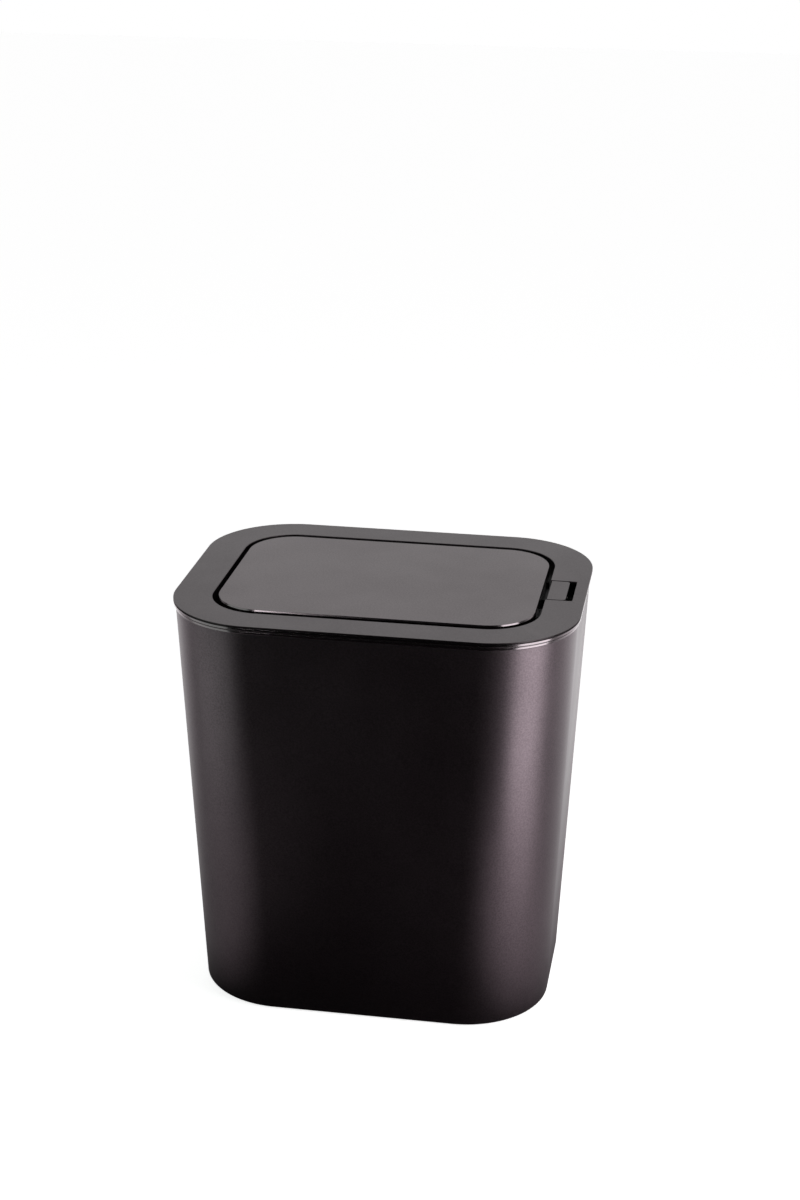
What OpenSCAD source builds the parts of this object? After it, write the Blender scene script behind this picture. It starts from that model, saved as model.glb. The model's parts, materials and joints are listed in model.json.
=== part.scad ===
// Push top bin: a drafted body, a lid that lifts off, a sprung flap and a button that frees its latch.
// Origin at the centre of the footprint on the ground, X along the long side towards the button, Z up.

/* [Lid] */
// Width of the lid, from the hinge end to the button end
lid_w = 273; // [250:1:290]
// Depth of the lid, front to back
lid_d = 212; // [195:1:230]
// Corner radius of the lid
lid_r = 61; // [56:1:66]
// Height of the lid's top face above the ground
lid_top = 289; // [240:1:340]
// Height of the lid's visible edge
lid_edge_h = 4; // [3:0.5:5]
// Depth of the groove round the lid's edge
edge_groove = 1.2; // [0.4:0.1:1.4]
// Thickness of the lid's top plate
plate_t = 2.4; // [2:0.1:2.8]
// Thickness of the lid's outer edge
edge_t = 3.4; // [2.8:0.1:4]
// How far the lid stands out past the body
lid_overhang = 1.5; // [1:0.1:2.5]
// Width of the rim between the mouth and each end of the lid
rim_end = 26.3; // [25.9:0.1:29.5]
// Width of the rim between the mouth and each side of the lid
rim_side = 24.8; // [22:0.1:28]
// Corner radius of the mouth
mouth_r = 35.6; // [32:0.2:40]
// Thickness of the wall round the mouth
mouth_wall = 2; // [1.6:0.1:2.4]
// Depth of the mouth wall below the lid's top face
mouth_wall_h = 11; // [10.4:0.1:11.4]

/* [Body] */
// How far each wall leans in from the rim to the foot
body_draft = 13; // [4:0.5:20]
// Thickness of the body's wall
body_wall = 2.4; // [1.8:0.1:3]
// Thickness of the body's floor
floor_t = 2.8; // [2:0.1:4]
// Depth of the recess under the floor
foot_recess = 3; // [2:0.5:6]
// Width of the foot round that recess
foot_ring_w = 4; // [3:0.5:8]
// Thickness of the ribs under the floor
rib_t = 1.6; // [1:0.1:3]
// Radius of each rubber pad
pad_r = 9; // [6:0.5:12]
// How far the pads stand out below the foot
pad_proud = 0.8; // [0.4:0.1:2]
// Distance of the pads from the ends of the foot
pad_inset_x = 34; // [32:0.5:50]
// Distance of the pads from the sides of the foot
pad_inset_y = 39.5; // [32:0.5:60]

/* [Tray] */
// Thickness of the tray's floor
tray_t = 2; // [1.6:0.1:2.4]
// Thickness of the tray's outer wall
tray_wall = 2; // [1.6:0.1:2.2]
// Gap between the tray and the body's mouth
tray_fit = 0.4; // [0.3:0.1:0.8]
// Width of the ledge that the flap closes on
ledge_w = 9; // [8:0.5:12]
// Thickness of that ledge
ledge_t = 2; // [1.6:0.1:2.4]
// Radius of the lid's screw bosses
boss_r = 4; // [3.4:0.1:4.5]
// Radius of the lid's screws
screw_r = 1.45; // [1.2:0.05:1.6]
// Length of the lid's screws below the head
screw_l = 15; // [10:0.5:16]

/* [Flap] */
// Gap between the flap and the mouth at each end
end_gap = 3.5; // [3:0.1:5]
// Gap between the flap and the mouth along each side
side_gap = 5; // [3:0.1:6]
// Corner radius of the flap
flap_r = 32.4; // [28:0.2:36]
// How far the flap stands above the lid
flap_proud = 0.4; // [0:0.1:0.6]
// Thickness of the flap's skin
flap_skin = 2.4; // [2:0.1:2.4]
// Height of the flap's edge
flap_h = 7.4; // [7.2:0.1:7.6]
// Thickness of the flap's rim
flap_rim = 2; // [1.6:0.1:2.4]
// Thickness of the flap's liner
liner_t = 2; // [1.6:0.1:2.2]
// Gap between the liner and the flap's rim
liner_fit = 0.3; // [0.2:0.05:0.5]

/* [Hinge] */
// Radius of the hinge pin
pin_r = 2; // [1.5:0.1:2]
// Distance of the pin from the flap's end
tail_l = 16; // [14:0.1:18]
// Depth of the pin below the flap's top face
pin_drop = 6.4; // [6:0.1:6.6]
// Angle that the flap opens to
open_angle = 75; // [60:1:76]
// Gap under the flap's end as it swings down into the tray
tail_gap = 0.5; // [0.4:0.1:2]
// Running gap round the pin
pin_run = 0.06; // [0.03:0.01:0.1]
// Wall thickness of the hinge bushes
bush_wall = 0.9; // [0.7:0.05:0.9]
// Distance of the knuckles from the middle
knuckle_y = 52; // [48:0.5:54]
// Length of each knuckle
knuckle_l = 7; // [5:0.5:9]
// Distance of the hinge springs from the middle
spring_y = 40; // [30:0.5:42]
// Thickness of the hinge springs' wire
hinge_wire = 1; // [0.8:0.1:1]
// Turns of each hinge spring, to the nearest whole turn
hinge_turns = 5; // [3:1:7]
// Distance from one turn of a hinge spring to the next
hinge_pitch = 1.5; // [1.45:0.05:1.6]

/* [Button and latch] */
// Width of the rim left outside the button's cut-out
notch_margin = 8.3; // [8.1:0.1:8.5]
// Width of the cut-out for the button
notch_w = 38; // [34:0.2:38]
// Width of the slot behind the button
button_slot = 4.7; // [4:0.1:5]
// Gap between the button and the mouth's line
button_inset = 1; // [0.6:0.1:1.4]
// Gap between the button and the sides of its cut-out
button_gap = 0.9; // [0.3:0.1:1.1]
// Corner radius of the button
button_r = 2.6; // [1:0.1:4]
// Depth of the button's top below the lid's top face
button_sink = 0.1; // [0:0.1:0.5]
// Travel of the button, and of the latch that it moves
press = 2.5; // [2:0.1:2.5]
// Thickness of the latch slider
slider_t = 3; // [2.6:0.1:3]
// How far the latch reaches over the striker
catch_l = 1.6; // [1.2:0.1:1.8]
// Thickness of the latch spring's wire
latch_wire = 0.6; // [0.4:0.05:0.6]
// Turns of the latch spring
latch_turns = 5; // [3:1:5]

/* [Hidden] */
$fn = 96;

plastic = [0.20, 0.175, 0.195];
inner_plastic = [0.14, 0.125, 0.14];
acetal = [0.82, 0.80, 0.76];
steel = [0.72, 0.73, 0.75];
rubber = [0.10, 0.10, 0.11];

// Small gap between pieces that are screwed or clipped together
fit = 0.3;
// How far joined shapes run into each other
bite = 0.5;
thin = 0.01;

body_w = lid_w - 2 * lid_overhang;
body_d = lid_d - 2 * lid_overhang;
body_r = lid_r - lid_overhang;
body_top = lid_top - lid_edge_h;
body_h = body_top - pad_proud;
pad_x = body_w / 2 - body_draft - pad_inset_x;
pad_y = body_d / 2 - body_draft - pad_inset_y;
pad_chamfer = 0.6;
floor_z = pad_proud + foot_recess;
plate_z = lid_top - plate_t;
groove_z = lid_top - 1;
edge_groove_h = 0.6;

flap_top = lid_top + flap_proud;
flap_z = flap_top - flap_h;
pin_z = flap_top - pin_drop;
mouth_w = lid_w - 2 * rim_end;
mouth_d = lid_d - 2 * rim_side;
mouth_x = mouth_w / 2;
tray_top = pin_z - norm([tail_l, flap_h - pin_drop]) - tail_gap;
tray_z = tray_top - tray_t;
wall_z = lid_top - mouth_wall_h;
tray_inset = lid_overhang + body_wall + body_draft * (body_top - tray_z) / body_h + tray_fit;
tray_w = lid_w - 2 * tray_inset;
tray_d = lid_d - 2 * tray_inset;
tray_r = body_r - body_wall;
rim_x = (mouth_w / 2 + mouth_wall + tray_w / 2 - tray_wall) / 2;
rim_y = (mouth_d / 2 + mouth_wall + tray_d / 2 - tray_wall) / 2;
// Screws along the sides, then at the hinge end, then on each side of the latch housing
side_screw_inset = 14.6;
hinge_screw_inset = 15.6;
latch_screw_gap = 9.5;
side_screw_x = mouth_w / 2 - mouth_r - side_screw_inset;
hinge_screw_y = mouth_d / 2 - mouth_r - hinge_screw_inset;
ear_screw_gap = 6.2;
ear_end = 4;
ear_screw_y = notch_w / 2 + ear_screw_gap;
ear_y = ear_screw_y + ear_end;
latch_screw_y = ear_y + boss_r + latch_screw_gap;
lid_screw_spots = [
  for (sx = [-1, 1], sy = [-1, 1]) [sx * side_screw_x, sy * rim_y],
  for (sy = [-1, 1]) [-rim_x, sy * hinge_screw_y],
  for (sy = [-1, 1]) [rim_x, sy * latch_screw_y]
];
head_h = 2;
head_r = 3.4;
pilot_gap = 0.05;
small_screw_r = 1.25;
small_head_r = 3;
small_head_h = 1.7;

flap_w = mouth_w - 2 * end_gap;
flap_d = mouth_d - 2 * side_gap;
flap_x = flap_w / 2;
liner_inset = flap_rim + liner_fit;
liner_x = flap_x - liner_inset;
flap_screw_inset_x = 40.7;
flap_screw_inset_y = 26.2;
flap_screw_x = flap_x - flap_screw_inset_x;
flap_screw_y = flap_d / 2 - flap_screw_inset_y;

pin_x = -flap_x + tail_l;
// Where the top edge of the flap's end comes to rest on the tray's stop
tail_edge = [
  pin_x - tail_l * cos(open_angle) - pin_drop * sin(open_angle),
  pin_z - tail_l * sin(open_angle) + pin_drop * cos(open_angle)
];
stop_y = 12;
clip_r = pin_r + 1.6;
clip_t = 0.6;
clip_slot = 2;
groove_h = 0.5;
block_l = 12;
block_proud = 0.8;
clip_gap = 0.7;
clip_end = 1.8;
block_y = mouth_d / 2 + mouth_wall + block_proud;
clip_y = block_y + clip_gap;
pin_end = clip_y + clip_end;
knuckle_r = 3.8;
coil_r = pin_r + 0.5 + hinge_wire / 2;
shelf_x = pin_x + coil_r - hinge_wire / 2 - fit;
leg_l = 16;
rest_t = 1.2;
rest_l = 6;

notch_x = mouth_x + rim_end - notch_margin;
button_x0 = mouth_x + button_inset;
button_x1 = notch_x - button_slot;
button_y = notch_w / 2 - button_gap;
button_l = button_x1 - button_x0;
button_top = lid_top - button_sink;
button_t = 2.4;
button_skirt = 1.6;
button_skirt_h = 5;
lug_w = 2.2;
lug_h = 1.9;
lug_inset = 4;
housing_gap = 0.6;
housing_z = tray_top + housing_gap;
housing_t = 2.4;
slider_z = housing_z + housing_t + fit;
slider_top = slider_z + slider_t;
slider_x1 = button_x1 - button_inset;
slider_y = 12.2;
tongue = 1.2;
tongue_t = 1.5;
groove_y = slider_y + tongue + fit + 0.1;
ramp_w = 3.5;
// The ramps rise at 45 degrees, so they are as long as they are high, but for a flat top
ramp_h = 8;
ramp_flat = 0.5;
ramp_x = slider_x1 - ramp_h - ramp_flat;
ramp_gap = 0.14;
ramp_top = slider_top + ramp_h;
// Gap left at the end of the button's and the latch's travel
stop_gap = 0.4;
leg_z = slider_top + press + stop_gap;
striker_proud = 1.9;
catch_x = flap_x + striker_proud;
nose_x = catch_x - catch_l;
nose_y = 5;
striker_y = 6;
striker_h = 2.5;
striker_t = 4;
window_gap = 3;
window_y = striker_y + window_gap;
housing_x0 = mouth_x + mouth_wall + housing_gap;
housing_wall_t = 1.9;
housing_x1 = slider_x1 + press + stop_gap + housing_wall_t;
housing_side = 2.8;
housing_y = slider_y + housing_side;
ear_drop = 3.7;
ear_z = slider_top + ear_drop;
ear_t = 2.2;
ear_screw_x = (housing_x0 + housing_x1) / 2;
pusher_inset = 6;
pusher_x = slider_x1 - pusher_inset;
latch_coil_r = 2.4;
latch_spring_z = slider_z + fit + latch_coil_r + latch_wire / 2;
latch_spring_l = housing_x1 - housing_wall_t - pusher_x - 0.2;

bumper_r = 2.2;
bumper_inset = 14.3;
bumper_end_inset = 8.8;
bumper_x = flap_x - flap_r - bumper_inset;
bumper_end_y = flap_d / 2 - flap_r - bumper_end_inset;

// Flat outline with round corners
module rounded(w, d, r) {
  square([w - 2 * r, d], center = true);
  square([w, d - 2 * r], center = true);
  for (sx = [-1, 1], sy = [-1, 1])
    translate([sx * (w / 2 - r), sy * (d / 2 - r)]) circle(r);
}

module slab(w, d, r, z0, z1) {
  translate([0, 0, z0]) linear_extrude(z1 - z0) rounded(w, d, r);
}

// Upright wall of thickness t, inside the outline
module ring(w, d, r, t, z0, z1) {
  translate([0, 0, z0]) linear_extrude(z1 - z0) difference() {
    rounded(w, d, r);
    rounded(w - 2 * t, d - 2 * t, r - t);
  }
}

// Block between two corners
module block(a, b) {
  translate(a) cube(b - a);
}

// Cylinder along the depth, centred on y
module rod_y(r, x, z, y, l) {
  translate([x, y + l / 2, z]) rotate([90, 0, 0]) cylinder(r = r, h = l);
}

// The children and their mirror image across the middle of the depth
module mirrored() {
  for (m = [0, 1]) mirror([0, m, 0]) children();
}

module at_both(y) {
  for (s = [-1, 1]) translate([0, s * y, 0]) children();
}

// Drafted solid of the body, drawn in by inset, between two heights
function lean(z) = body_draft * (body_top - z) / body_h;
module drafted_slice(inset, z) {
  w = body_w - 2 * (inset + lean(z));
  d = body_d - 2 * (inset + lean(z));
  slab(w, d, body_r - inset, z, z + thin);
}
module drafted(inset, z0, z1) {
  hull() {
    drafted_slice(inset, z0);
    drafted_slice(inset, z1 - thin);
  }
}

module screw(shank_r, shank_l, cap_r, cap_h) {
  translate([0, 0, -cap_h]) difference() {
    cylinder(r = cap_r, h = cap_h);
    for (a = [0, 90]) rotate(a) translate([-cap_r * 0.6, -0.4, -bite])
      cube([cap_r * 1.2, 0.8, cap_h * 0.5 + bite]);
  }
  translate([0, 0, -thin]) cylinder(r = shank_r, h = shank_l - shank_r + thin);
  translate([0, 0, shank_l - shank_r]) cylinder(r1 = shank_r, r2 = shank_r * 0.3, h = shank_r);
}

// Wire swept along a path about the Z axis
wire_sides = 6;
turn_rings = 8;
function unit(v) = v / norm(v);
function way(p, i) = unit(p[min(i + 1, len(p) - 1)] - p[max(i - 1, 0)]);
function wire_ring(c, t, r) =
  let (n = unit(cross(t, [0, 0, 1])), b = cross(n, t))
  [for (k = [0:wire_sides - 1]) let (a = k * 360 / wire_sides) c + r * (cos(a) * n + sin(a) * b)];
module wire(p, d) {
  pts = [for (i = [0:len(p) - 1]) each wire_ring(p[i], way(p, i), d / 2)];
  last = (len(p) - 1) * wire_sides;
  side = [
    for (i = [0:len(p) - 2], k = [0:wire_sides - 1])
      let (a = i * wire_sides, q = (k + 1) % wire_sides)
      each [[a + k, a + wire_sides + k, a + q], [a + q, a + wire_sides + k, a + wire_sides + q]]
  ];
  start = [for (k = [1:wire_sides - 2]) [0, k, k + 1]];
  end = [for (k = [1:wire_sides - 2]) [last, last + k + 1, last + k]];
  polyhedron(pts, concat(side, start, end));
}
function coil(r, pitch, turns) =
  [for (i = [0:turns * turn_rings]) let (a = i * 360 / turn_rings) [r * cos(a), r * sin(a), pitch * a / 360]];
// Least gap between stretches of a wire that are over half a turn apart
function least_gap(p, d) =
  min([for (i = [0:len(p) - 1], j = [i + turn_rings / 2 + 1:1:len(p) - 1]) norm(p[i] - p[j])]) - d;

hinge_coil = coil(coil_r, hinge_pitch, hinge_turns + 0.75);
hinge_coil_end = hinge_coil[len(hinge_coil) - 1];
hinge_path = concat(
  [[coil_r, tray_z + fit - pin_z, 0], [coil_r, -hinge_wire, 0]],
  hinge_coil,
  [hinge_coil_end + [hinge_wire, 0, 0], hinge_coil_end + [leg_l, 0, 0]]
);
latch_pitch = (latch_spring_l - latch_wire) / latch_turns;
latch_coil = coil(latch_coil_r, latch_pitch, latch_turns);
latch_path = concat(
  [latch_coil[0] - [0, latch_wire, 0]],
  latch_coil,
  [latch_coil[len(latch_coil) - 1] + [0, latch_wire, 0]]
);
echo(hinge_spring_gap = least_gap(hinge_path, hinge_wire));
echo(latch_spring_gap = least_gap(latch_path, latch_wire));

module bin_body() {
  color(plastic) difference() {
    drafted(0, pad_proud, body_top);
    drafted(body_wall, floor_z + floor_t, body_top + 1);
    difference() {
      drafted(foot_ring_w, pad_proud - 1, floor_z);
      for (x = [-pad_x / 2, 0, pad_x / 2])
        block([x - rib_t / 2, -body_d, pad_proud + 1], [x + rib_t / 2, body_d, floor_z + 1]);
      block([-body_w, -rib_t / 2, pad_proud + 1], [body_w, rib_t / 2, floor_z + 1]);
    }
  }
}

module foot_pads() {
  color(rubber) for (sx = [-1, 1], sy = [-1, 1])
    translate([sx * pad_x, sy * pad_y, 0]) {
      cylinder(r1 = pad_r - pad_chamfer, r2 = pad_r, h = pad_chamfer);
      translate([0, 0, pad_chamfer]) cylinder(r = pad_r, h = floor_z - pad_chamfer);
    }
}

module lid_frame() {
  color(plastic) difference() {
    union() {
      difference() {
        union() {
          slab(lid_w, lid_d, lid_r, plate_z, lid_top);
          ring(lid_w, lid_d, lid_r, edge_t, body_top, plate_z + bite);
          ring(mouth_w + 2 * mouth_wall, mouth_d + 2 * mouth_wall, mouth_r + mouth_wall, mouth_wall,
            wall_z, plate_z + bite);
          mirrored() block([pin_x - block_l / 2, flap_d / 2 - flap_r, wall_z + fit],
            [pin_x + block_l / 2, block_y, plate_z + bite]);
        }
        slab(mouth_w, mouth_d, mouth_r, wall_z - 1, lid_top + 1);
      }
      for (p = lid_screw_spots)
        translate([p.x, p.y, tray_top]) cylinder(r = boss_r, h = plate_z - tray_top + bite);
      at_both(ear_screw_y) translate([ear_screw_x, 0, ear_z + ear_t])
        cylinder(r = boss_r - bite, h = plate_z - ear_z - ear_t + bite);
    }
    block([mouth_x - 1, -notch_w / 2, wall_z - 1], [notch_x, notch_w / 2, lid_top + 1]);
    ring(lid_w + 2, lid_d + 2, lid_r + 1, edge_groove + 1, groove_z - edge_groove_h, groove_z);
    for (p = lid_screw_spots)
      translate([p.x, p.y, tray_top - 1]) cylinder(r = screw_r + pilot_gap, h = screw_l + 1);
    at_both(ear_screw_y) translate([ear_screw_x, 0, ear_z])
      cylinder(r = small_screw_r + pilot_gap, h = plate_z - ear_z - 0.6);
    rod_y(pin_r + pin_run / 2, pin_x, pin_z, 0, lid_d - 2 * edge_t - 2);
  }
}

module lid_tray() {
  color(inner_plastic) difference() {
    union() {
      difference() {
        union() {
          slab(tray_w, tray_d, tray_r, tray_z, tray_top);
          ring(mouth_w + 2 * mouth_wall, mouth_d + 2 * mouth_wall, mouth_r + mouth_wall, mouth_wall,
            tray_z + bite, wall_z);
        }
        slab(mouth_w, mouth_d, mouth_r, tray_z - 1, wall_z + 1);
      }
      ring(tray_w, tray_d, tray_r, tray_wall, tray_z + bite, plate_z - fit);
      difference() {
        ring(mouth_w + mouth_wall, mouth_d + mouth_wall, mouth_r + mouth_wall / 2,
          ledge_w + mouth_wall / 2, wall_z - ledge_t, wall_z);
        block([-mouth_w, -mouth_d, wall_z - ledge_t - 1], [pin_x + leg_l, mouth_d, wall_z + 1]);
      }
      block([-mouth_x - mouth_wall / 2, -spring_y - 8, tray_z], [shelf_x, spring_y + 8, tray_top]);
      block([-mouth_x - mouth_wall / 2, -stop_y, tray_z], [tail_edge.x + bite, stop_y, tail_edge.y - fit]);
    }
    for (p = lid_screw_spots)
      translate([p.x, p.y, tray_z - 1]) cylinder(r = screw_r + fit, h = tray_t + 2);
    block([mouth_x - ledge_w - 1, -window_y, slider_z - fit * 2], [housing_x0, window_y, wall_z + 1]);
  }
}

module lid_screws() {
  color(steel) for (p = lid_screw_spots)
    translate([p.x, p.y, tray_z]) screw(screw_r, screw_l, head_r, head_h);
}

module flap_bumpers() {
  bumper_h = flap_z - wall_z - fit;
  color(rubber) {
    at_both(flap_d / 2 - flap_rim / 2) translate([bumper_x, 0, wall_z]) cylinder(r = bumper_r, h = bumper_h);
    at_both(bumper_end_y) translate([flap_x - flap_rim / 2, 0, wall_z]) cylinder(r = bumper_r, h = bumper_h);
  }
}

module hinge_pin() {
  color(steel) difference() {
    rod_y(pin_r, pin_x, pin_z, 0, 2 * pin_end);
    at_both(clip_y) rod_y(pin_r + 1, pin_x, pin_z, 0, clip_t + 0.2);
  }
  color(steel) rod_y(pin_r - groove_h, pin_x, pin_z, 0, 2 * pin_end - 1);
}

module pin_clips() {
  color(steel) at_both(clip_y) difference() {
    rod_y(clip_r, pin_x, pin_z, 0, clip_t);
    rod_y(pin_r - groove_h + pilot_gap, pin_x, pin_z, 0, 2 * clip_t);
    block([pin_x - clip_slot / 2, -clip_t, pin_z - clip_r - 1], [pin_x + clip_slot / 2, clip_t, pin_z]);
  }
}

module hinge_spring(y) {
  color(steel) translate([pin_x, y + hinge_coil_end.z / 2, pin_z]) rotate([90, 0, 0])
    wire(hinge_path, hinge_wire);
}

module flap_panel() {
  slot_gap = 0.6;
  color(plastic) difference() {
    union() {
      slab(flap_w, flap_d, flap_r, flap_top - flap_skin, flap_top);
      ring(flap_w, flap_d, flap_r, flap_rim, flap_z, flap_top - flap_skin + bite);
      for (sx = [-1, 1], sy = [-1, 1])
        translate([sx * flap_screw_x, sy * flap_screw_y, flap_z + liner_t])
          cylinder(r = boss_r - 0.8, h = flap_h - liner_t - flap_skin + bite);
    }
    for (sx = [-1, 1], sy = [-1, 1])
      translate([sx * flap_screw_x, sy * flap_screw_y, flap_z])
        cylinder(r = small_screw_r + pilot_gap, h = flap_h - 1.4);
    rod_y(pin_r + slot_gap, pin_x, pin_z, 0, flap_d + 2);
    block([pin_x - pin_r - slot_gap, -flap_d, flap_z - 1], [pin_x + pin_r + slot_gap, flap_d, pin_z]);
  }
}

module striker() {
  tongue_x = liner_x - striker_t;
  tip_z = slider_z - fit - striker_h;
  rotate([90, 0, 0]) linear_extrude(2 * striker_y, center = true) polygon([
    [tongue_x, flap_z + bite], [liner_x, flap_z + bite], [liner_x, tip_z + striker_h],
    [catch_x, tip_z + striker_h], [catch_x, tip_z + striker_h * 0.7], [catch_x - 2, tip_z], [tongue_x, tip_z]
  ]);
}

module flap_liner() {
  channel = coil_r + hinge_wire;
  arm_l = channel + 1.5;
  liner_top = flap_z + liner_t;
  color(inner_plastic) difference() {
    union() {
      difference() {
        slab(flap_w - 2 * liner_inset, flap_d - 2 * liner_inset, flap_r - liner_inset, flap_z, liner_top);
        block([pin_x - channel, -flap_d, flap_z - 1], [pin_x + channel, flap_d, liner_top + 1]);
      }
      at_both(knuckle_y) {
        rod_y(knuckle_r, pin_x, pin_z, 0, knuckle_l);
        block([pin_x - arm_l, -knuckle_l / 2, flap_z - 1], [pin_x + arm_l, knuckle_l / 2, liner_top + 1]);
      }
      at_both(spring_y)
        block([pin_x + leg_l - rest_l, -hinge_coil_end.z, flap_z - rest_t],
          [pin_x + leg_l, hinge_coil_end.z, flap_z + bite]);
      striker();
    }
    at_both(knuckle_y) rod_y(pin_r + pin_run + bush_wall + pin_run, pin_x, pin_z, 0, knuckle_l + 2);
    for (sx = [-1, 1], sy = [-1, 1])
      translate([sx * flap_screw_x, sy * flap_screw_y, flap_z - 1])
        cylinder(r = small_screw_r + fit, h = liner_t + 2);
  }
}

module flap_screws() {
  color(steel) for (sx = [-1, 1], sy = [-1, 1])
    translate([sx * flap_screw_x, sy * flap_screw_y, flap_z])
      screw(small_screw_r, flap_h - 2, small_head_r, small_head_h);
}

module hinge_bushes() {
  color(acetal) at_both(knuckle_y) difference() {
    union() {
      rod_y(pin_r + pin_run + bush_wall, pin_x, pin_z, 0, knuckle_l + 0.1);
      for (s = [-1, 1])
        rod_y(knuckle_r - 0.3, pin_x, pin_z, s * (knuckle_l / 2 + 0.45), 0.8);
    }
    rod_y(pin_r + pin_run, pin_x, pin_z, 0, knuckle_l + 4);
  }
}

module push_button() {
  leg_x = button_x0 + 2;
  ramp_end_x = slider_x1 - 0.1;
  color(plastic) {
    translate([0, 0, button_top - button_t]) linear_extrude(button_t) {
      translate([button_x0, -button_y]) square([button_l - button_r, 2 * button_y]);
      translate([button_x0, -button_y + button_r]) square([button_l, 2 * (button_y - button_r)]);
      at_both(button_y - button_r) translate([button_x1 - button_r, 0]) circle(button_r);
    }
    difference() {
      block([button_x0 + 1, -button_y, button_top - button_skirt_h],
        [button_x1 - 1, button_y, button_top - button_t + bite]);
      block([button_x0 + 1 + button_skirt, -button_y + button_skirt, button_top - button_skirt_h - 1],
        [button_x1 - 1 - button_skirt, button_y - button_skirt, button_top - button_t]);
    }
    mirrored() block([button_x0 + lug_inset, button_y - bite, plate_z - fit - lug_h],
      [button_x1 - lug_inset, button_y + lug_w, plate_z - fit]);
    at_both(slider_y - ramp_w / 2) rotate([90, 0, 0]) linear_extrude(ramp_w, center = true) polygon([
      [leg_x, button_top - button_t + bite],
      [ramp_end_x, button_top - button_t + bite],
      [ramp_end_x, slider_top + ramp_end_x - ramp_x + ramp_gap],
      [ramp_x + leg_z - slider_top - ramp_gap, leg_z],
      [leg_x, leg_z]
    ]);
  }
}

module latch_slider() {
  slot_y = latch_coil_r + 1.2;
  pusher_t = 3;
  color(acetal) difference() {
    union() {
      block([housing_x0 + 1, -slider_y, slider_z], [slider_x1, slider_y, slider_top]);
      block([housing_x0 + 1, -slider_y - tongue, slider_z],
        [slider_x1, slider_y + tongue, slider_z + tongue_t]);
      rotate([90, 0, 0]) linear_extrude(2 * nose_y, center = true) polygon([
        [housing_x0 + 2, slider_z], [housing_x0 + 2, slider_top], [nose_x + 2.2, slider_top],
        [nose_x, slider_top - 2.2], [nose_x, slider_z]
      ]);
      block([pusher_x - pusher_t, -slot_y, slider_z], [pusher_x, slot_y, latch_spring_z + latch_coil_r]);
      at_both(slider_y - ramp_w / 2) rotate([90, 0, 0]) linear_extrude(ramp_w, center = true) polygon([
        [ramp_x, slider_top], [ramp_x, slider_top - bite], [slider_x1, slider_top - bite],
        [slider_x1, ramp_top], [ramp_x + ramp_top - slider_top, ramp_top]
      ]);
    }
    block([pusher_x, -slot_y, slider_z - 1], [slider_x1 + 1, slot_y, slider_top + 1]);
  }
}

module latch_spring() {
  color(steel) translate([pusher_x + 0.1 + latch_wire / 2, 0, latch_spring_z]) rotate([0, 90, 0])
    wire(latch_path, latch_wire);
}

module latch_housing() {
  in_x = housing_x1 - housing_wall_t;
  top_z = ear_z + ear_t;
  color(inner_plastic) difference() {
    union() {
      block([housing_x0, -housing_y, housing_z], [housing_x1, housing_y, top_z]);
      block([housing_x0 + 2, -ear_y, ear_z], [housing_x1, ear_y, top_z]);
    }
    block([housing_x0 - 1, -slider_y - fit, slider_z - fit], [in_x, slider_y + fit, top_z + 1]);
    block([housing_x0 - 1, -groove_y, slider_z - fit], [in_x, groove_y, slider_z + tongue_t + fit]);
    block([housing_x0 - 1, -striker_y, ear_z], [housing_x1 + 1, striker_y, top_z + 1]);
    at_both(ear_screw_y) translate([ear_screw_x, 0, ear_z - 1])
      cylinder(r = small_screw_r + fit, h = ear_t + 2);
  }
}

module housing_screws() {
  color(steel) at_both(ear_screw_y) translate([ear_screw_x, 0, ear_z])
    screw(small_screw_r, plate_z - ear_z - 0.8, small_head_r, small_head_h);
}

bin_body();
foot_pads();
lid_frame();
lid_tray();
lid_screws();
flap_bumpers();
hinge_pin();
pin_clips();
hinge_spring(-spring_y);  // hinge_spring_front
hinge_spring(spring_y);  // hinge_spring_rear
flap_panel();
flap_liner();
flap_screws();
hinge_bushes();
push_button();
latch_slider();
latch_spring();
latch_housing();
housing_screws();
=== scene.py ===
"""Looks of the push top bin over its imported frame.

The body, the lid's frame and the flap are fine meshes with rounded edges. The other pieces are the
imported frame's own nodes. Materials, floor, light and camera follow the photograph.
"""

import json
import math

import bmesh
import bpy
from mathutils import Matrix, Vector


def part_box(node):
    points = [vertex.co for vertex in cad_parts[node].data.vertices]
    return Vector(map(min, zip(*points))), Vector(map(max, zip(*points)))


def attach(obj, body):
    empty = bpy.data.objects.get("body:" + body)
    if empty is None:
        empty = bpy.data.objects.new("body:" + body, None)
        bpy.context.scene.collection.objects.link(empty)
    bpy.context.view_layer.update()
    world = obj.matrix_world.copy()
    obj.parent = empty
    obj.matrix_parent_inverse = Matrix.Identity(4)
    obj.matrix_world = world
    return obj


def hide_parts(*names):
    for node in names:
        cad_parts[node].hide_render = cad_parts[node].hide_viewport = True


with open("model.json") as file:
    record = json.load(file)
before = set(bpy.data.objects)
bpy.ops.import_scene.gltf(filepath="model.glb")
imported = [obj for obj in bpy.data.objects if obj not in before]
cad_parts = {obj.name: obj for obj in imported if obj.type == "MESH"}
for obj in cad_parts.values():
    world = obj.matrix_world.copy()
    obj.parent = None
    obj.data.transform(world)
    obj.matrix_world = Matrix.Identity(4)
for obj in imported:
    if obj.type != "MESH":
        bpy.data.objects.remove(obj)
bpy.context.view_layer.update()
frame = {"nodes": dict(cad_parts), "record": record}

MM = 0.001

# Divisions of round outlines, sections and posts
ARC_STEPS = 40
SIDE_STEPS = 12
WALL_STEPS = 16
POST_STEPS = 32
FINE_ARC_DEG = 15
LEAST_ARC_STEPS = 3
BIG_R = 10 * MM
LONG_WALL = 100 * MM

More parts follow.
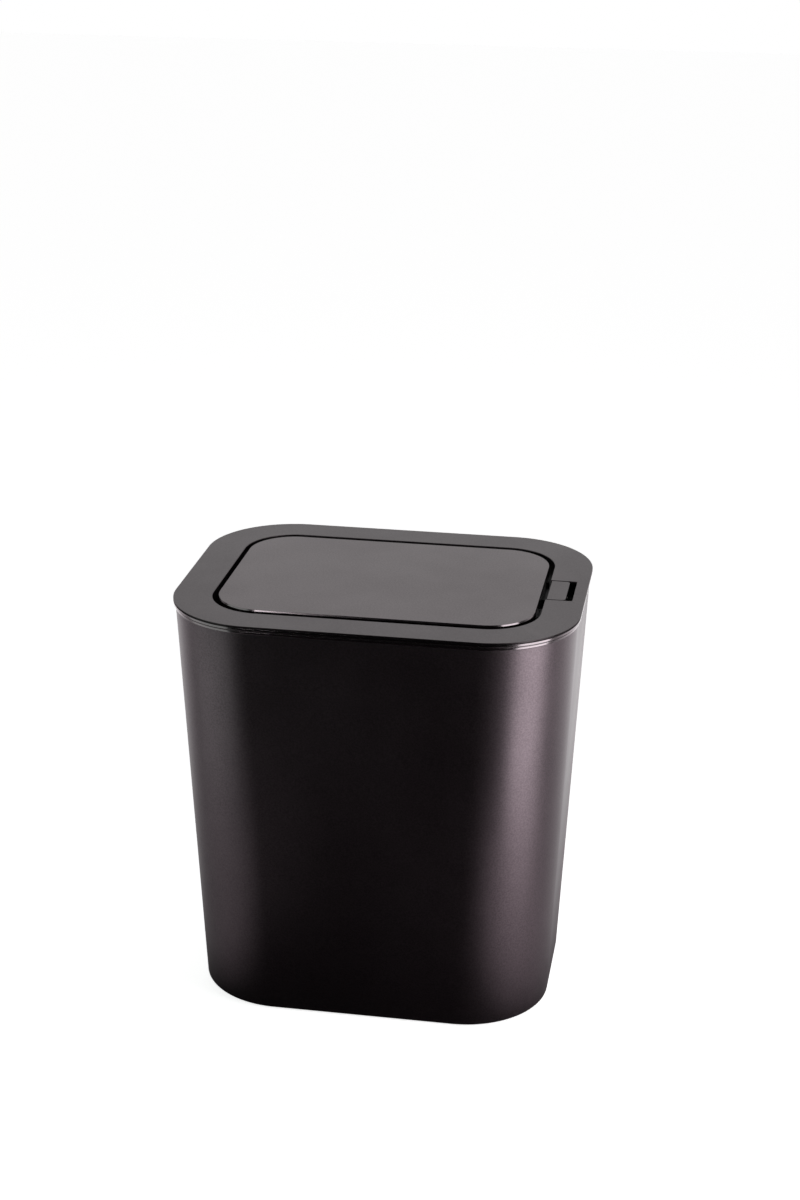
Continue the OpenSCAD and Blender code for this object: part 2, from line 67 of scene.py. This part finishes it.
# Edges
LID_EDGE_R = 0.25 * MM
MOUTH_EDGE_R = 0.5 * MM
FLAP_CHAMFER = 0.45 * MM
FLAP_CHAMFER_H = 1 * MM
FLAP_EDGE_R = 0.12 * MM
FOOT_EDGE_R = 1.2 * MM
SMALL_R = 0.3 * MM
TINY_R = 0.1 * MM
FLAT_STEPS = (0.4 * MM, 0.9 * MM, 1.6 * MM)
NARROW_FLAT_STEPS = (0.2 * MM, 0.4 * MM)

# Lid frame
LID_R = 61 * MM
MOUTH_W = 220.4 * MM
MOUTH_D = 162.4 * MM
MOUTH_R = 35.6 * MM
MOUTH_WALL = 2 * MM
MOUTH_WALL_H = 11 * MM
MOUTH_WALL_R = 0.4 * MM
LID_EDGE_H = 4 * MM
EDGE_T = 3.4 * MM
PLATE_T = 2.4 * MM
GROOVE_TOP = 0.32 * MM
GROOVE_H = 1.15 * MM
GROOVE_DEPTH = 1.3 * MM
GROOVE_LIP_R = 0.08 * MM
BEAD_R = 0.25 * MM
SEAM_H = 1 * MM
SEAM_DEPTH = 1.2 * MM
NOTCH_MARGIN = 8.3 * MM
NOTCH_W = 38 * MM
NOTCH_R = 0.9 * MM
NOTCH_CORNER_R = 1.05 * MM
LID_POST_R = 4 * MM
HOUSING_POST_R = 3.5 * MM
POST_RISE = 2 * MM
HUB_HALF_W = 6 * MM
HUB_CLEAR = 0.7 * MM

# Body
BODY_R = 59.5 * MM
BODY_DRAFT = 13 * MM
BODY_WALL = 2.4 * MM
RIM_ROLL = 0.45 * MM
RIM_ROLL_H = 1.5 * MM
RIM_INNER_R = 0.6 * MM
INSIDE_R = 6 * MM
INSIDE_FLAT = 16 * MM
FLOOR_T = 2.8 * MM
FOOT_RECESS = 3 * MM
FOOT_RING_W = 4 * MM
FOOT_RECESS_R = 0.8 * MM
FOOT_INNER_R = 0.6 * MM
UNDER_FLAT = 10 * MM
RIB_T = 1.6 * MM
RIB_RISE = 1 * MM
BITE = 0.5 * MM

# Flap
FLAP_R = 32.4 * MM
FLAP_SKIN = 2.4 * MM
FLAP_RIM = 2 * MM
FLAP_RIM_R = 0.5 * MM
FLAP_CHAMFER_R = 0.15 * MM
FLAP_POST_R = 3.2 * MM
FLAP_POST_RISE = 2 * MM

# The outermost band of a wall that the polished finish and its painted highlight tone may cover
POLISHED_HIGHLIGHT_DEPTH = 1 * MM


def rounded_outline(half_x, half_y, r):
    """Points and outward normals of a round-cornered rectangle: arcs joined by divided sides."""
    x, y = half_x - r, half_y - r
    arcs = []
    for (cx, cy), start in (((x, -y), -90), ((x, y), 0), ((-x, y), 90), ((-x, -y), 180)):
        arc = []
        for i in range(ARC_STEPS + 1):
            a = math.radians(start + 90 * i / ARC_STEPS)
            n = Vector((math.cos(a), math.sin(a)))
            arc.append((Vector((cx, cy)) + r * n, n))
        arcs.append(arc)
    points = []
    for k, arc in enumerate(arcs):
        points += arc
        start, n = arc[-1]
        end = arcs[(k + 1) % len(arcs)][0][0]
        points += [(start.lerp(end, i / SIDE_STEPS), n) for i in range(1, SIDE_STEPS)]
    return points


def corner_arc(before, p, after, r):
    """Points of the arc that rounds the corner p of a path, with normals to the path's right."""
    back = (before - p).normalized()
    ahead = (after - p).normalized()
    half = back.angle(ahead) / 2
    centre = p + (back + ahead).normalized() * (r / math.sin(half))
    start = p + back * (r / math.tan(half)) - centre
    end = p + ahead * (r / math.tan(half)) - centre
    first = math.atan2(start.y, start.x)
    turn = (math.atan2(end.y, end.x) - first + math.pi) % (2 * math.pi) - math.pi
    fine_steps = round(abs(math.degrees(turn)) / FINE_ARC_DEG)
    steps = ARC_STEPS if r > BIG_R else max(LEAST_ARC_STEPS, fine_steps)
    side = 1 if turn > 0 else -1
    arc = []
    for k in range(steps + 1):
        a = first + turn * k / steps
        n = Vector((math.cos(a), math.sin(a)))
        arc.append((centre + r * n, side * n))
    return arc


def profile(corners):
    """Points (inset, height) of an open section of (inset, height, radius), its corners rounded."""
    points = [Vector((inset, z)) for inset, z, r in corners]
    out = [points[0]]
    for i in range(1, len(points) - 1):
        r = corners[i][2]
        if r == 0:
            out.append(points[i])
        else:
            out += [p for p, n in corner_arc(points[i - 1], points[i], points[i + 1], r)]
    out.append(points[-1])
    return out


def flat_end(inset, z, steps=FLAT_STEPS):
    """Rings on the flat just past a rounded edge, so that its shading stops there."""
    return [(inset + step, z, 0) for step in steps]


def new_object(name, bm):
    mesh = bpy.data.meshes.new(name)
    bm.to_mesh(mesh)
    bm.free()
    obj = bpy.data.objects.new(name, mesh)
    bpy.context.scene.collection.objects.link(obj)
    return obj


def add_ring(bm, points, z):
    return [bm.verts.new((p.x, p.y, z)) for p in points]


def add_rings(bm, outline, section):
    """One ring for each point of a section, drawn in from the outline by the point's inset."""
    return [add_ring(bm, [p - s.x * n for p, n in outline], s.y) for s in section]


def join_rings(bm, a, b, closed=True, polished_highlight=False):
    count = len(a)
    for i in range(count if closed else count - 1):
        j = (i + 1) % count
        bm.faces.new((a[i], a[j], b[j], b[i])).material_index = int(polished_highlight)


def join_all(bm, rings, closed=True):
    for a, b in zip(rings, rings[1:]):
        join_rings(bm, a, b, closed)


def join_section(bm, rings, section, polish_from, polish_to):
    """Joins rings in turn. Outermost faces between the two heights get the polished material, whose lighter
    tone is a painted highlight.
    """
    for k in range(len(rings) - 1):
        middle = (section[k] + section[k + 1]) / 2
        polished_highlight = polish_from < middle.y < polish_to and middle.x < POLISHED_HIGHLIGHT_DEPTH
        join_rings(bm, rings[k], rings[k + 1], polished_highlight=polished_highlight)


def fill_between(bm, loops):
    """A flat face between closed loops of vertices."""
    edges = []
    for loop in loops:
        for i, v in enumerate(loop):
            w = loop[(i + 1) % len(loop)]
            edges.append(bm.edges.get((v, w)) or bm.edges.new((v, w)))
    bmesh.ops.triangle_fill(bm, edges=edges, use_beauty=True)


def finish_mesh(bm):
    bmesh.ops.remove_doubles(bm, verts=bm.verts, dist=1e-7)
    bmesh.ops.recalc_face_normals(bm, faces=bm.faces)


def add_block(bm, low, high):
    """A block with bevelled edges."""
    made = bmesh.ops.create_cube(bm, size=1)
    for v in made["verts"]:
        v.co = Vector([low[k] + (v.co[k] + 0.5) * (high[k] - low[k]) for k in range(3)])
    edges = {e for v in made["verts"] for e in v.link_edges}
    bmesh.ops.bevel(bm, geom=list(edges), offset=SMALL_R, segments=2, profile=0.5, affect="EDGES")


def add_post(bm, x, y, z0, z1, r):
    """A round post with bevelled ends."""
    turns = [2 * math.pi * i / POST_STEPS for i in range(POST_STEPS)]
    rings = []
    for inset, z in ((SMALL_R, z0), (0, z0 + SMALL_R), (0, z1 - SMALL_R), (SMALL_R, z1)):
        reach = r - inset
        circle = [Vector((x + reach * math.cos(a), y + reach * math.sin(a))) for a in turns]
        rings.append(add_ring(bm, circle, z))
    join_all(bm, rings)
    bm.faces.new(rings[0])
    bm.faces.new(rings[-1])


def islands(node):
    """Lowest and highest corner of each separate piece in a frame node."""
    bm = bmesh.new()
    bm.from_mesh(frame["nodes"][node].data)
    bmesh.ops.remove_doubles(bm, verts=bm.verts, dist=1e-6)
    seen = set()
    found = []
    for first in bm.verts:
        if first in seen:
            continue
        stack = [first]
        seen.add(first)
        members = []
        while stack:
            v = stack.pop()
            members.append(v.co.copy())
            for e in v.link_edges:
                w = e.other_vert(v)
                if w not in seen:
                    seen.add(w)
                    stack.append(w)
        low = Vector([min(c[k] for c in members) for k in range(3)])
        high = Vector([max(c[k] for c in members) for k in range(3)])
        found.append((low, high))
    bm.free()
    return found


def island_centres(node):
    return [(low + high) / 2 for low, high in islands(node)]


# Heights and half sizes from the frame
body_low, body_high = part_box("bin_body")
lid_low, lid_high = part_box("lid_frame")
flap_low, flap_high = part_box("flap_panel")
lid_top = lid_high.z
body_top = body_high.z
foot_z = body_low.z
lid_x, lid_y = lid_high.x, lid_high.y
body_x, body_y = body_high.x, body_high.y


def lean(z):
    """How far a wall has come in at a height."""
    return BODY_DRAFT * (body_top - z) / (body_top - foot_z)


def body_ring(bm, inset, z):
    """The body's outline at a height, drawn in by inset."""
    outline = rounded_outline(body_x - lean(z), body_y - lean(z), BODY_R)
    return add_ring(bm, [p - inset * n for p, n in outline], z)


def make_body():
    """Drafted shell with a rolled rim, a foot ring and ribs under the floor."""
    floor_z = foot_z + FOOT_RECESS
    inside_z = floor_z + FLOOR_T
    roll_z = body_top - RIM_ROLL_H
    section = profile([
        (FOOT_RING_W + UNDER_FLAT, floor_z, 0),
        (FOOT_RING_W, floor_z, FOOT_RECESS_R),
        (FOOT_RING_W, foot_z, FOOT_INNER_R),
        (0, foot_z, FOOT_EDGE_R),
        (0, roll_z - RIM_ROLL, SMALL_R),
        (-RIM_ROLL, roll_z, SMALL_R),
        (-RIM_ROLL, body_top, SMALL_R),
        (BODY_WALL, body_top, RIM_INNER_R),
        (BODY_WALL, inside_z, INSIDE_R),
        (BODY_WALL + INSIDE_FLAT, inside_z, 0),
    ])
    divided = []
    for a, b in zip(section, section[1:]):
        steps = WALL_STEPS if abs(b.y - a.y) > LONG_WALL else 1
        divided += [a.lerp(b, i / steps) for i in range(steps)]
    divided.append(section[-1])
    bm = bmesh.new()
    rings = [body_ring(bm, p.x, p.y) for p in divided]
    # The rolled rim's outer faces get the polished finish, whose lighter tone is a painted highlight
    join_section(bm, rings, divided, roll_z - RIM_ROLL, body_top + MM)
    bm.faces.new(rings[0])
    bm.faces.new(rings[-1])
    finish_mesh(bm)
    in_x = body_x - BODY_DRAFT - FOOT_RING_W + BITE
    in_y = body_y - BODY_DRAFT - FOOT_RING_W + BITE
    rib_low, rib_high = foot_z + RIB_RISE, floor_z + BITE
    pad_x = max(p.x for p in island_centres("foot_pads"))
    for x in (-pad_x / 2, 0, pad_x / 2):
        add_block(bm, (x - RIB_T / 2, -in_y, rib_low), (x + RIB_T / 2, in_y, rib_high))
    add_block(bm, (-in_x, -RIB_T / 2, rib_low), (in_x, RIB_T / 2, rib_high))
    return new_object("BinBody", bm)


def mouth_outline():
    """The mouth's outline with the button's notch, as points and normals that face out of the opening."""
    x, y = MOUTH_W / 2, MOUTH_D / 2
    notch_x, notch_y = lid_x - NOTCH_MARGIN, NOTCH_W / 2
    corners = [
        ((x, -notch_y), NOTCH_CORNER_R),
        ((notch_x, -notch_y), NOTCH_R),
        ((notch_x, notch_y), NOTCH_R),
        ((x, notch_y), NOTCH_CORNER_R),
        ((x, y), MOUTH_R),
        ((-x, y), MOUTH_R),
        ((-x, -y), MOUTH_R),
        ((x, -y), MOUTH_R),
    ]
    points = [Vector(p) for p, r in corners]
    out = []
    for i, (p, r) in enumerate(corners):
        out += corner_arc(points[i - 1], points[i], points[(i + 1) % len(points)], r)
    return out


def make_frame():
    """Top plate with mouth and notch, the grooved edge, the mouth's wall and the posts below."""
    bm = bmesh.new()
    edge_z = lid_top - LID_EDGE_H
    bead_z = edge_z + SEAM_H
    plate_z = lid_top - PLATE_T
    groove_z = lid_top - GROOVE_TOP
    section = profile([
        (EDGE_T, plate_z, 0),
        (EDGE_T, edge_z, SMALL_R),
        (SEAM_DEPTH, edge_z, TINY_R),
        (SEAM_DEPTH, bead_z, TINY_R),
        (0, bead_z, BEAD_R),
        (0, groove_z - GROOVE_H, BEAD_R),
        (GROOVE_DEPTH, groove_z - GROOVE_H, TINY_R),
        (GROOVE_DEPTH, groove_z, TINY_R),
        (0, groove_z, GROOVE_LIP_R),
        (0, lid_top, LID_EDGE_R),
        *flat_end(LID_EDGE_R, lid_top),
    ])
    rings = add_rings(bm, rounded_outline(lid_x, lid_y, LID_R), section)
    # The bead's outer faces get the polished finish, whose lighter tone is a painted highlight
    join_section(bm, rings, section, bead_z, groove_z - GROOVE_H)
    inner_section = profile([
        (0, plate_z, 0),
        (0, lid_top, MOUTH_EDGE_R),
        *flat_end(MOUTH_EDGE_R, lid_top, NARROW_FLAT_STEPS),
    ])
    inner_rings = add_rings(bm, [(p, -n) for p, n in mouth_outline()], inner_section)
    join_all(bm, inner_rings)
    fill_between(bm, [rings[-1], inner_rings[-1]])
    fill_between(bm, [rings[0], inner_rings[0]])
    finish_mesh(bm)
    add_mouth_wall(bm, plate_z)
    post_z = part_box("lid_tray")[0].z + POST_RISE
    for c in island_centres("lid_screws"):
        add_post(bm, c.x, c.y, post_z, plate_z, LID_POST_R)
    for c in island_centres("housing_screws"):
        add_post(bm, c.x, c.y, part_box("latch_housing")[1].z, plate_z, HOUSING_POST_R)
    return new_object("LidFrame", bm)


def add_mouth_wall(bm, plate_z):
    """The wall round the mouth, open at the notch, and the hubs that hold the hinge pin's ends."""
    low_z = lid_top - MOUTH_WALL_H
    x, y = MOUTH_W / 2, MOUTH_D / 2
    notch_y = NOTCH_W / 2
    near = 1e-6
    path = rounded_outline(x, y, MOUTH_R)
    start = next(i for i, (p, n) in enumerate(path) if p.x > x - near and p.y >= notch_y)
    path = path[start:] + path[:start]
    path = [(p, n) for p, n in path if not (p.x > x - near and abs(p.y) < notch_y)]
    outward = Vector((1, 0))
    path = [(Vector((x, notch_y)), outward), *path, (Vector((x, -notch_y)), outward)]
    section = profile([
        (0, plate_z, 0),
        (0, low_z, MOUTH_WALL_R),
        (MOUTH_WALL, low_z, MOUTH_WALL_R),
        (MOUTH_WALL, plate_z, 0),
    ])
    rings = add_rings(bm, [(p, -n) for p, n in path], section)
    join_all(bm, rings, closed=False)
    bm.faces.new([ring[0] for ring in rings])
    bm.faces.new([ring[-1] for ring in rings])
    for c in island_centres("pin_clips"):
        side = 1 if c.y > 0 else -1
        ends = sorted(((y + MOUTH_WALL / 2) * side, (abs(c.y) - HUB_CLEAR) * side))
        low = (c.x - HUB_HALF_W, ends[0], low_z + SMALL_R)
        high = (c.x + HUB_HALF_W, ends[1], plate_z + SMALL_R)
        add_block(bm, low, high)


def make_flap():
    """Flap with a chamfered edge, a rim and screw posts under it."""
    skin_z = flap_high.z - FLAP_SKIN
    section = profile([
        (FLAP_RIM + UNDER_FLAT, skin_z, 0),
        (FLAP_RIM, skin_z, FLAP_RIM_R),
        (FLAP_RIM, flap_low.z, SMALL_R),
        (0, flap_low.z, SMALL_R),
        (0, flap_high.z - FLAP_CHAMFER_H, FLAP_CHAMFER_R),
        (FLAP_CHAMFER, flap_high.z, FLAP_EDGE_R),
        *flat_end(FLAP_CHAMFER + FLAP_EDGE_R, flap_high.z),
    ])
    bm = bmesh.new()
    rings = add_rings(bm, rounded_outline(flap_high.x, flap_high.y, FLAP_R), section)
    # The flap's chamfer and outer edge get the polished finish, whose lighter tone is a painted highlight
    join_section(bm, rings, section, flap_low.z + MM, flap_high.z - TINY_R)
    bm.faces.new(rings[0])
    bm.faces.new(rings[-1])
    finish_mesh(bm)
    for c in island_centres("flap_screws"):
        add_post(bm, c.x, c.y, flap_low.z + FLAP_POST_RISE, skin_z + SMALL_R, FLAP_POST_R)
    return new_object("FlapPanel", bm)


# Materials
CLOUDS_PER_M = 45
SMUDGES_PER_M = 14
LINES_PER_M = 1800
PATCHES_PER_M = 220


def node_tree(name):
    mat = bpy.data.materials.new(name)
    mat.use_nodes = True
    nodes, links = mat.node_tree.nodes, mat.node_tree.links
    return mat, nodes, links, nodes["Principled BSDF"]


def noise(nodes, links, coord, scale, detail, stretch=(1, 1, 1)):
    """A noise texture over object coordinates in metres; scale is in features per metre."""
    mapping = nodes.new("ShaderNodeMapping")
    mapping.inputs["Scale"].default_value = stretch
    texture = nodes.new("ShaderNodeTexNoise")
    texture.inputs["Scale"].default_value = scale
    texture.inputs["Detail"].default_value = detail
    links.new(coord.outputs["Object"], mapping.inputs["Vector"])
    links.new(mapping.outputs["Vector"], texture.inputs["Vector"])
    return texture.outputs["Fac"]


def ranged(nodes, links, value, span, to=(0, 1)):
    """The value, mapped from a span to another one and held within it."""
    node = nodes.new("ShaderNodeMapRange")
    node.inputs["From Min"].default_value, node.inputs["From Max"].default_value = span
    node.inputs["To Min"].default_value, node.inputs["To Max"].default_value = to
    links.new(value, node.inputs["Value"])
    return node.outputs["Result"]


def mixed(nodes, links, factor, a, b):
    """Colour a where factor is 0 and b where it is 1; a and b are colours or sockets."""
    node = nodes.new("ShaderNodeMix")
    node.data_type = "RGBA"
    links.new(factor, node.inputs["Factor"])
    for socket, colour in ((node.inputs["A"], a), (node.inputs["B"], b)):
        if isinstance(colour, bpy.types.NodeSocket):
            links.new(colour, socket)
        else:
            socket.default_value = (*colour, 1)
    return node.outputs["Result"]


def add_bump(nodes, links, height, shader, strength, distance):
    bump = nodes.new("ShaderNodeBump")
    bump.inputs["Strength"].default_value = strength
    bump.inputs["Distance"].default_value = distance
    links.new(height, bump.inputs["Height"])
    links.new(bump.outputs["Normal"], shader.inputs["Normal"])


def tinted(colour, share):
    return tuple(min(1, c * share) for c in colour)


def make_plastic(
    name, colour, roughness, grain=0.12, wear=1.35, grain_size=0.45 * MM, metallic=0, speckle=0.35
):
    """Moulded plastic: fine grain, slight mottling, uneven sheen and edges rubbed a little lighter."""
    mat, nodes, links, shader = node_tree(name)
    coord = nodes.new("ShaderNodeTexCoord")
    fine = noise(nodes, links, coord, 1 / grain_size, 3)
    cloudy = noise(nodes, links, coord, CLOUDS_PER_M, 4)
    smudge = noise(nodes, links, coord, SMUDGES_PER_M, 5, (1, 1, 0.6))
    base = mixed(nodes, links, cloudy, tinted(colour, 0.86), tinted(colour, 1.14))
    specks = ranged(nodes, links, fine, (0.35, 0.65), (0, speckle))
    speck = mixed(nodes, links, specks, base, tinted(colour, 1.5))
    edge = nodes.new("ShaderNodeNewGeometry").outputs["Pointiness"]
    rubbed = ranged(nodes, links, edge, (0.52, 0.62), (0, 0.7))
    worn = mixed(nodes, links, rubbed, speck, tinted(colour, wear))
    links.new(worn, shader.inputs["Base Color"])
    sheen = ranged(nodes, links, smudge, (0.3, 0.7), (roughness - 0.03, roughness + 0.04))
    links.new(sheen, shader.inputs["Roughness"])
    add_bump(nodes, links, fine, shader, grain, 0.15 * MM)
    shader.inputs["Metallic"].default_value = metallic
    return mat


def make_metal(name, colour, roughness, stretch):
    """Drawn or plated steel: fine lines along the stretch, small dull patches."""
    mat, nodes, links, shader = node_tree(name)
    coord = nodes.new("ShaderNodeTexCoord")
    lines = noise(nodes, links, coord, LINES_PER_M, 2, stretch)
    patches = noise(nodes, links, coord, PATCHES_PER_M, 4)
    base = mixed(nodes, links, patches, tinted(colour, 0.82), tinted(colour, 1.1))
    links.new(base, shader.inputs["Base Color"])
    sheen = ranged(nodes, links, patches, (0.3, 0.7), (roughness - 0.07, roughness + 0.1))
    links.new(sheen, shader.inputs["Roughness"])
    add_bump(nodes, links, lines, shader, 0.2, 0.05 * MM)
    shader.inputs["Metallic"].default_value = 1
    return mat


def make_satin(name, colour, roughness, grain, metallic):
    """The plastic with a metallic effect that shows on the outside."""
    return make_plastic(
        name, colour, roughness, grain=grain, grain_size=1.1 * MM, metallic=metallic, speckle=0.6
    )


AUBERGINE = (0.12, 0.096, 0.1075)
FRAME_TONE = (0.09, 0.0785, 0.082)
FLAP_TONE = (0.136, 0.119, 0.1235)
# Painted highlight: the polished edge tone is about twice as light as the plastic, so the beads, the rim
# roll and the flap's chamfer glint brighter
EDGE_HIGHLIGHT_TONE = (0.26, 0.225, 0.24)
INNER_TONE = (0.018, 0.0155, 0.017)
ACETAL_TONE = (0.72, 0.70, 0.65)
RUBBER_TONE = (0.016, 0.016, 0.017)
PLATED_TONE = (0.62, 0.63, 0.65)
SPRING_TONE = (0.5, 0.5, 0.52)
materials = {
    "body_plastic": make_satin("BodyPlastic", AUBERGINE, 0.38, 0.22, 1),
    "lid_plastic": make_satin("FramePlastic", FRAME_TONE, 0.35, 0.2, 0.95),
    "inner_plastic": make_plastic("InnerPlastic", INNER_TONE, 0.52, wear=1.2),
    "acetal": make_plastic("Acetal", ACETAL_TONE, 0.34, grain=0.05, wear=1.05),
    "rubber": make_plastic("Rubber", RUBBER_TONE, 0.78, grain=0.3, wear=1.6, grain_size=0.25 * MM),
    "steel": make_metal("PlatedSteel", PLATED_TONE, 0.3, (1, 1, 0.2)),
    "spring_steel": make_metal("SpringSteel", SPRING_TONE, 0.36, (1, 1, 1)),
}
flap_plastic = make_satin("FlapPlastic", FLAP_TONE, 0.35, 0.2, 0.95)
# Polished edge bands: a lower roughness, and a lighter tone that is a painted highlight
polished_highlight_plastic = make_plastic("PolishedEdgeHighlight", EDGE_HIGHLIGHT_TONE, 0.17, grain=0.03, metallic=1)
slot_of = {row["node"]: row["material_slot"] for row in frame["record"]["subparts"]}


def smooth(obj):
    """Smooth normals that keep flat faces flat."""
    obj.data.shade_smooth()
    weighted = obj.modifiers.new("FlatFaces", "WEIGHTED_NORMAL")
    weighted.mode = "FACE_AREA_WITH_ANGLE"
    weighted.weight = 60


def dress(obj, finishes):
    for finish in finishes:
        obj.data.materials.append(finish)


# Own meshes over the frame's main forms
OWN = {
    "bin_body": (make_body, "bin"),
    "lid_frame": (make_frame, "lid"),
    "flap_panel": (make_flap, "flap"),
}
for node, (make, body) in OWN.items():
    piece = make()
    smooth(piece)
    main_finish = flap_plastic if node == "flap_panel" else materials[slot_of[node]]
    # The second slot is the polished finish, whose lighter tone is a painted highlight
    dress(piece, [main_finish, polished_highlight_plastic])
    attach(piece, body)
    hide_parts(node)

# The frame's other nodes, with rounded edges
EDGE_ROUNDING = {
    "push_button": 0.55 * MM,
    "foot_pads": 0.4 * MM,
    "lid_tray": 0.35 * MM,
    "flap_liner": 0.3 * MM,
    "latch_housing": 0.3 * MM,
    "latch_slider": 0.25 * MM,
    "flap_bumpers": 0.4 * MM,
    "lid_screws": 0.12 * MM,
    "flap_screws": 0.12 * MM,
    "housing_screws": 0.12 * MM,
    "hinge_pin": 0.2 * MM,
    "pin_clips": 0.1 * MM,
    "hinge_bushes": 0.12 * MM,
}
for name, obj in frame["nodes"].items():
    if name in OWN:
        continue
    weld = obj.modifiers.new("Weld", "WELD")
    weld.merge_threshold = 1e-6
    if name in EDGE_ROUNDING:
        bevel = obj.modifiers.new("RoundEdges", "BEVEL")
        bevel.width = EDGE_ROUNDING[name]
        bevel.segments = 3
        bevel.limit_method = "ANGLE"
        bevel.angle_limit = math.radians(40)
        bevel.use_clamp_overlap = True
    smooth(obj)
    obj.data.materials.clear()
    dress(obj, [materials[slot_of[name]]])


# Floor: white to the camera, dim in front of the object and bright beside and behind it
FLOOR_REACH = 6
FLOOR_SEEN = (0.9, 0.9, 0.9)
FLOOR_FAR = (0.008, 0.007, 0.0075)
FLOOR_FRONT = (0.05, 0.042, 0.045)
FLOOR_SIDE = (0.88, 0.83, 0.85)
FLOOR_BACK = (0.8, 0.8, 0.8)
FLOOR_GLOW = 0.8
BACK_GLOW = 1.2
FRONT_SPAN_Y = (-0.9, -0.3)
SIDE_SPAN_Y = (-0.42, -0.22)
SIDE_SPAN_X = (0.1, 0.17)
BACK_SPAN_Y = (-0.1, 0.6)
GLOW_SPAN_Y = (0, 0.5)


def make_floor():
    bm = bmesh.new()
    corners = ((-1, -1), (1, -1), (1, 1), (-1, 1))
    bm.faces.new([bm.verts.new((x * FLOOR_REACH, y * FLOOR_REACH, 0)) for x, y in corners])
    floor = new_object("Floor", bm)
    mat, nodes, links, shader = node_tree("FloorPaint")
    shader.inputs["Roughness"].default_value = 0.9
    shader.inputs["Specular IOR Level"].default_value = 0
    coord = nodes.new("ShaderNodeTexCoord")
    split = nodes.new("ShaderNodeSeparateXYZ")
    links.new(coord.outputs["Object"], split.inputs[0])
    along = split.outputs["Y"]
    front = mixed(nodes, links, ranged(nodes, links, along, FRONT_SPAN_Y), FLOOR_FAR, FLOOR_FRONT)
    aside = nodes.new("ShaderNodeMath")
    aside.operation = "ABSOLUTE"
    links.new(split.outputs["X"], aside.inputs[0])
    side = mixed(nodes, links, ranged(nodes, links, along, SIDE_SPAN_Y), front, FLOOR_SIDE)
    front = mixed(nodes, links, ranged(nodes, links, aside.outputs[0], SIDE_SPAN_X), front, side)
    unseen = mixed(nodes, links, ranged(nodes, links, along, BACK_SPAN_Y), front, FLOOR_BACK)
    path = nodes.new("ShaderNodeLightPath")
    seen = mixed(nodes, links, path.outputs["Is Camera Ray"], unseen, FLOOR_SEEN)
    links.new(seen, shader.inputs["Base Color"])
    glow = nodes.new("ShaderNodeMix")
    links.new(path.outputs["Is Camera Ray"], glow.inputs["Factor"])
    links.new(ranged(nodes, links, along, GLOW_SPAN_Y, (0, BACK_GLOW)), glow.inputs["A"])
    glow.inputs["B"].default_value = FLOOR_GLOW
    shader.inputs["Emission Color"].default_value = (1, 1, 1, 1)
    links.new(glow.outputs["Result"], shader.inputs["Emission Strength"])
    floor.data.materials.append(mat)
    return floor


make_floor()


# World: white to the camera, dark in front of the object and bright behind it
WORLD_STRENGTH = (0.008, 0.75)
WORLD_SPAN_Y = (0, 0.75)


def make_world():
    world = bpy.data.worlds.new("Studio")
    bpy.context.scene.world = world
    world.use_nodes = True
    nodes, links = world.node_tree.nodes, world.node_tree.links
    background = nodes["Background"]
    background.inputs["Color"].default_value = (1, 1, 1, 1)
    coord = nodes.new("ShaderNodeTexCoord")
    split = nodes.new("ShaderNodeSeparateXYZ")
    links.new(coord.outputs["Generated"], split.inputs[0])
    behind = ranged(nodes, links, split.outputs["Y"], WORLD_SPAN_Y, WORLD_STRENGTH)
    behind.node.interpolation_type = "SMOOTHSTEP"
    path = nodes.new("ShaderNodeLightPath")
    level = nodes.new("ShaderNodeMix")
    links.new(path.outputs["Is Camera Ray"], level.inputs["Factor"])
    links.new(behind, level.inputs["A"])
    level.inputs["B"].default_value = 1
    links.new(level.outputs["Result"], background.inputs["Strength"])


make_world()


def add_light(name, place, aim, size, power, colour=(1, 1, 1)):
    """A soft box at a place, pointed at another one; size is its width and height and power is in watts."""
    light = bpy.data.lights.new(name, "AREA")
    light.shape = "RECTANGLE"
    light.size, light.size_y = size
    light.energy = power
    light.color = colour
    lamp = bpy.data.objects.new(name, light)
    bpy.context.scene.collection.objects.link(lamp)
    lamp.location = place
    lamp.visible_camera = False
    lamp.rotation_euler = (Vector(aim) - Vector(place)).to_track_quat("-Z", "Y").to_euler()


# The two strips give the corners' highlights, and the glint is the bright line on the flap's front edge
LEFT_COLOUR = (0.87, 1, 0.93)
add_light("Overhead", (0, 0.7, 1.6), (0, 0, 0.28), (1.6, 0.8), 1)
add_light("RightStrip", (0.345, -0.19, 0.3), (0.11, -0.08, 0.3), (0.225, 0.64), 1.22)
add_light("LeftFill", (-0.37, -0.22, 0.3), (-0.11, -0.08, 0.3), (0.36, 0.64), 0.4, LEFT_COLOUR)
add_light("FlapGlint", (-0.215, -0.6, 0.55), (-0.085, -0.08, 0.289), (0.045, 0.12), 0.08)


# Camera worked out from the photograph
CAMERA_PLACE = (0.233418, -1.374879, 0.793664)
CAMERA_YAW = 9.2737
CAMERA_PITCH = 20.4418
CAMERA_ROLL = 0.5528
CAMERA_LENS = 65.1256
CAMERA_SENSOR = 36


def make_camera():
    data = bpy.data.cameras.new("PhotoView")
    data.lens = CAMERA_LENS
    data.sensor_width = CAMERA_SENSOR
    data.sensor_fit = "AUTO"
    camera = bpy.data.objects.new("PhotoView", data)
    bpy.context.scene.collection.objects.link(camera)
    yaw, pitch, roll = (math.radians(a) for a in (CAMERA_YAW, CAMERA_PITCH, CAMERA_ROLL))
    level = Vector((-math.sin(yaw), math.cos(yaw), 0))
    ahead = math.cos(pitch) * level - math.sin(pitch) * Vector((0, 0, 1))
    right = Vector((math.cos(yaw), math.sin(yaw), 0))
    up = right.cross(ahead)
    tilted_right = math.cos(roll) * right + math.sin(roll) * up
    tilted_up = math.cos(roll) * up - math.sin(roll) * right
    turn = Matrix((tilted_right, tilted_up, -ahead)).transposed()
    camera.matrix_world = Matrix.Translation(CAMERA_PLACE) @ turn.to_4x4()
    bpy.context.scene.camera = camera


make_camera()
bpy.context.scene.view_settings.view_transform = "Standard"
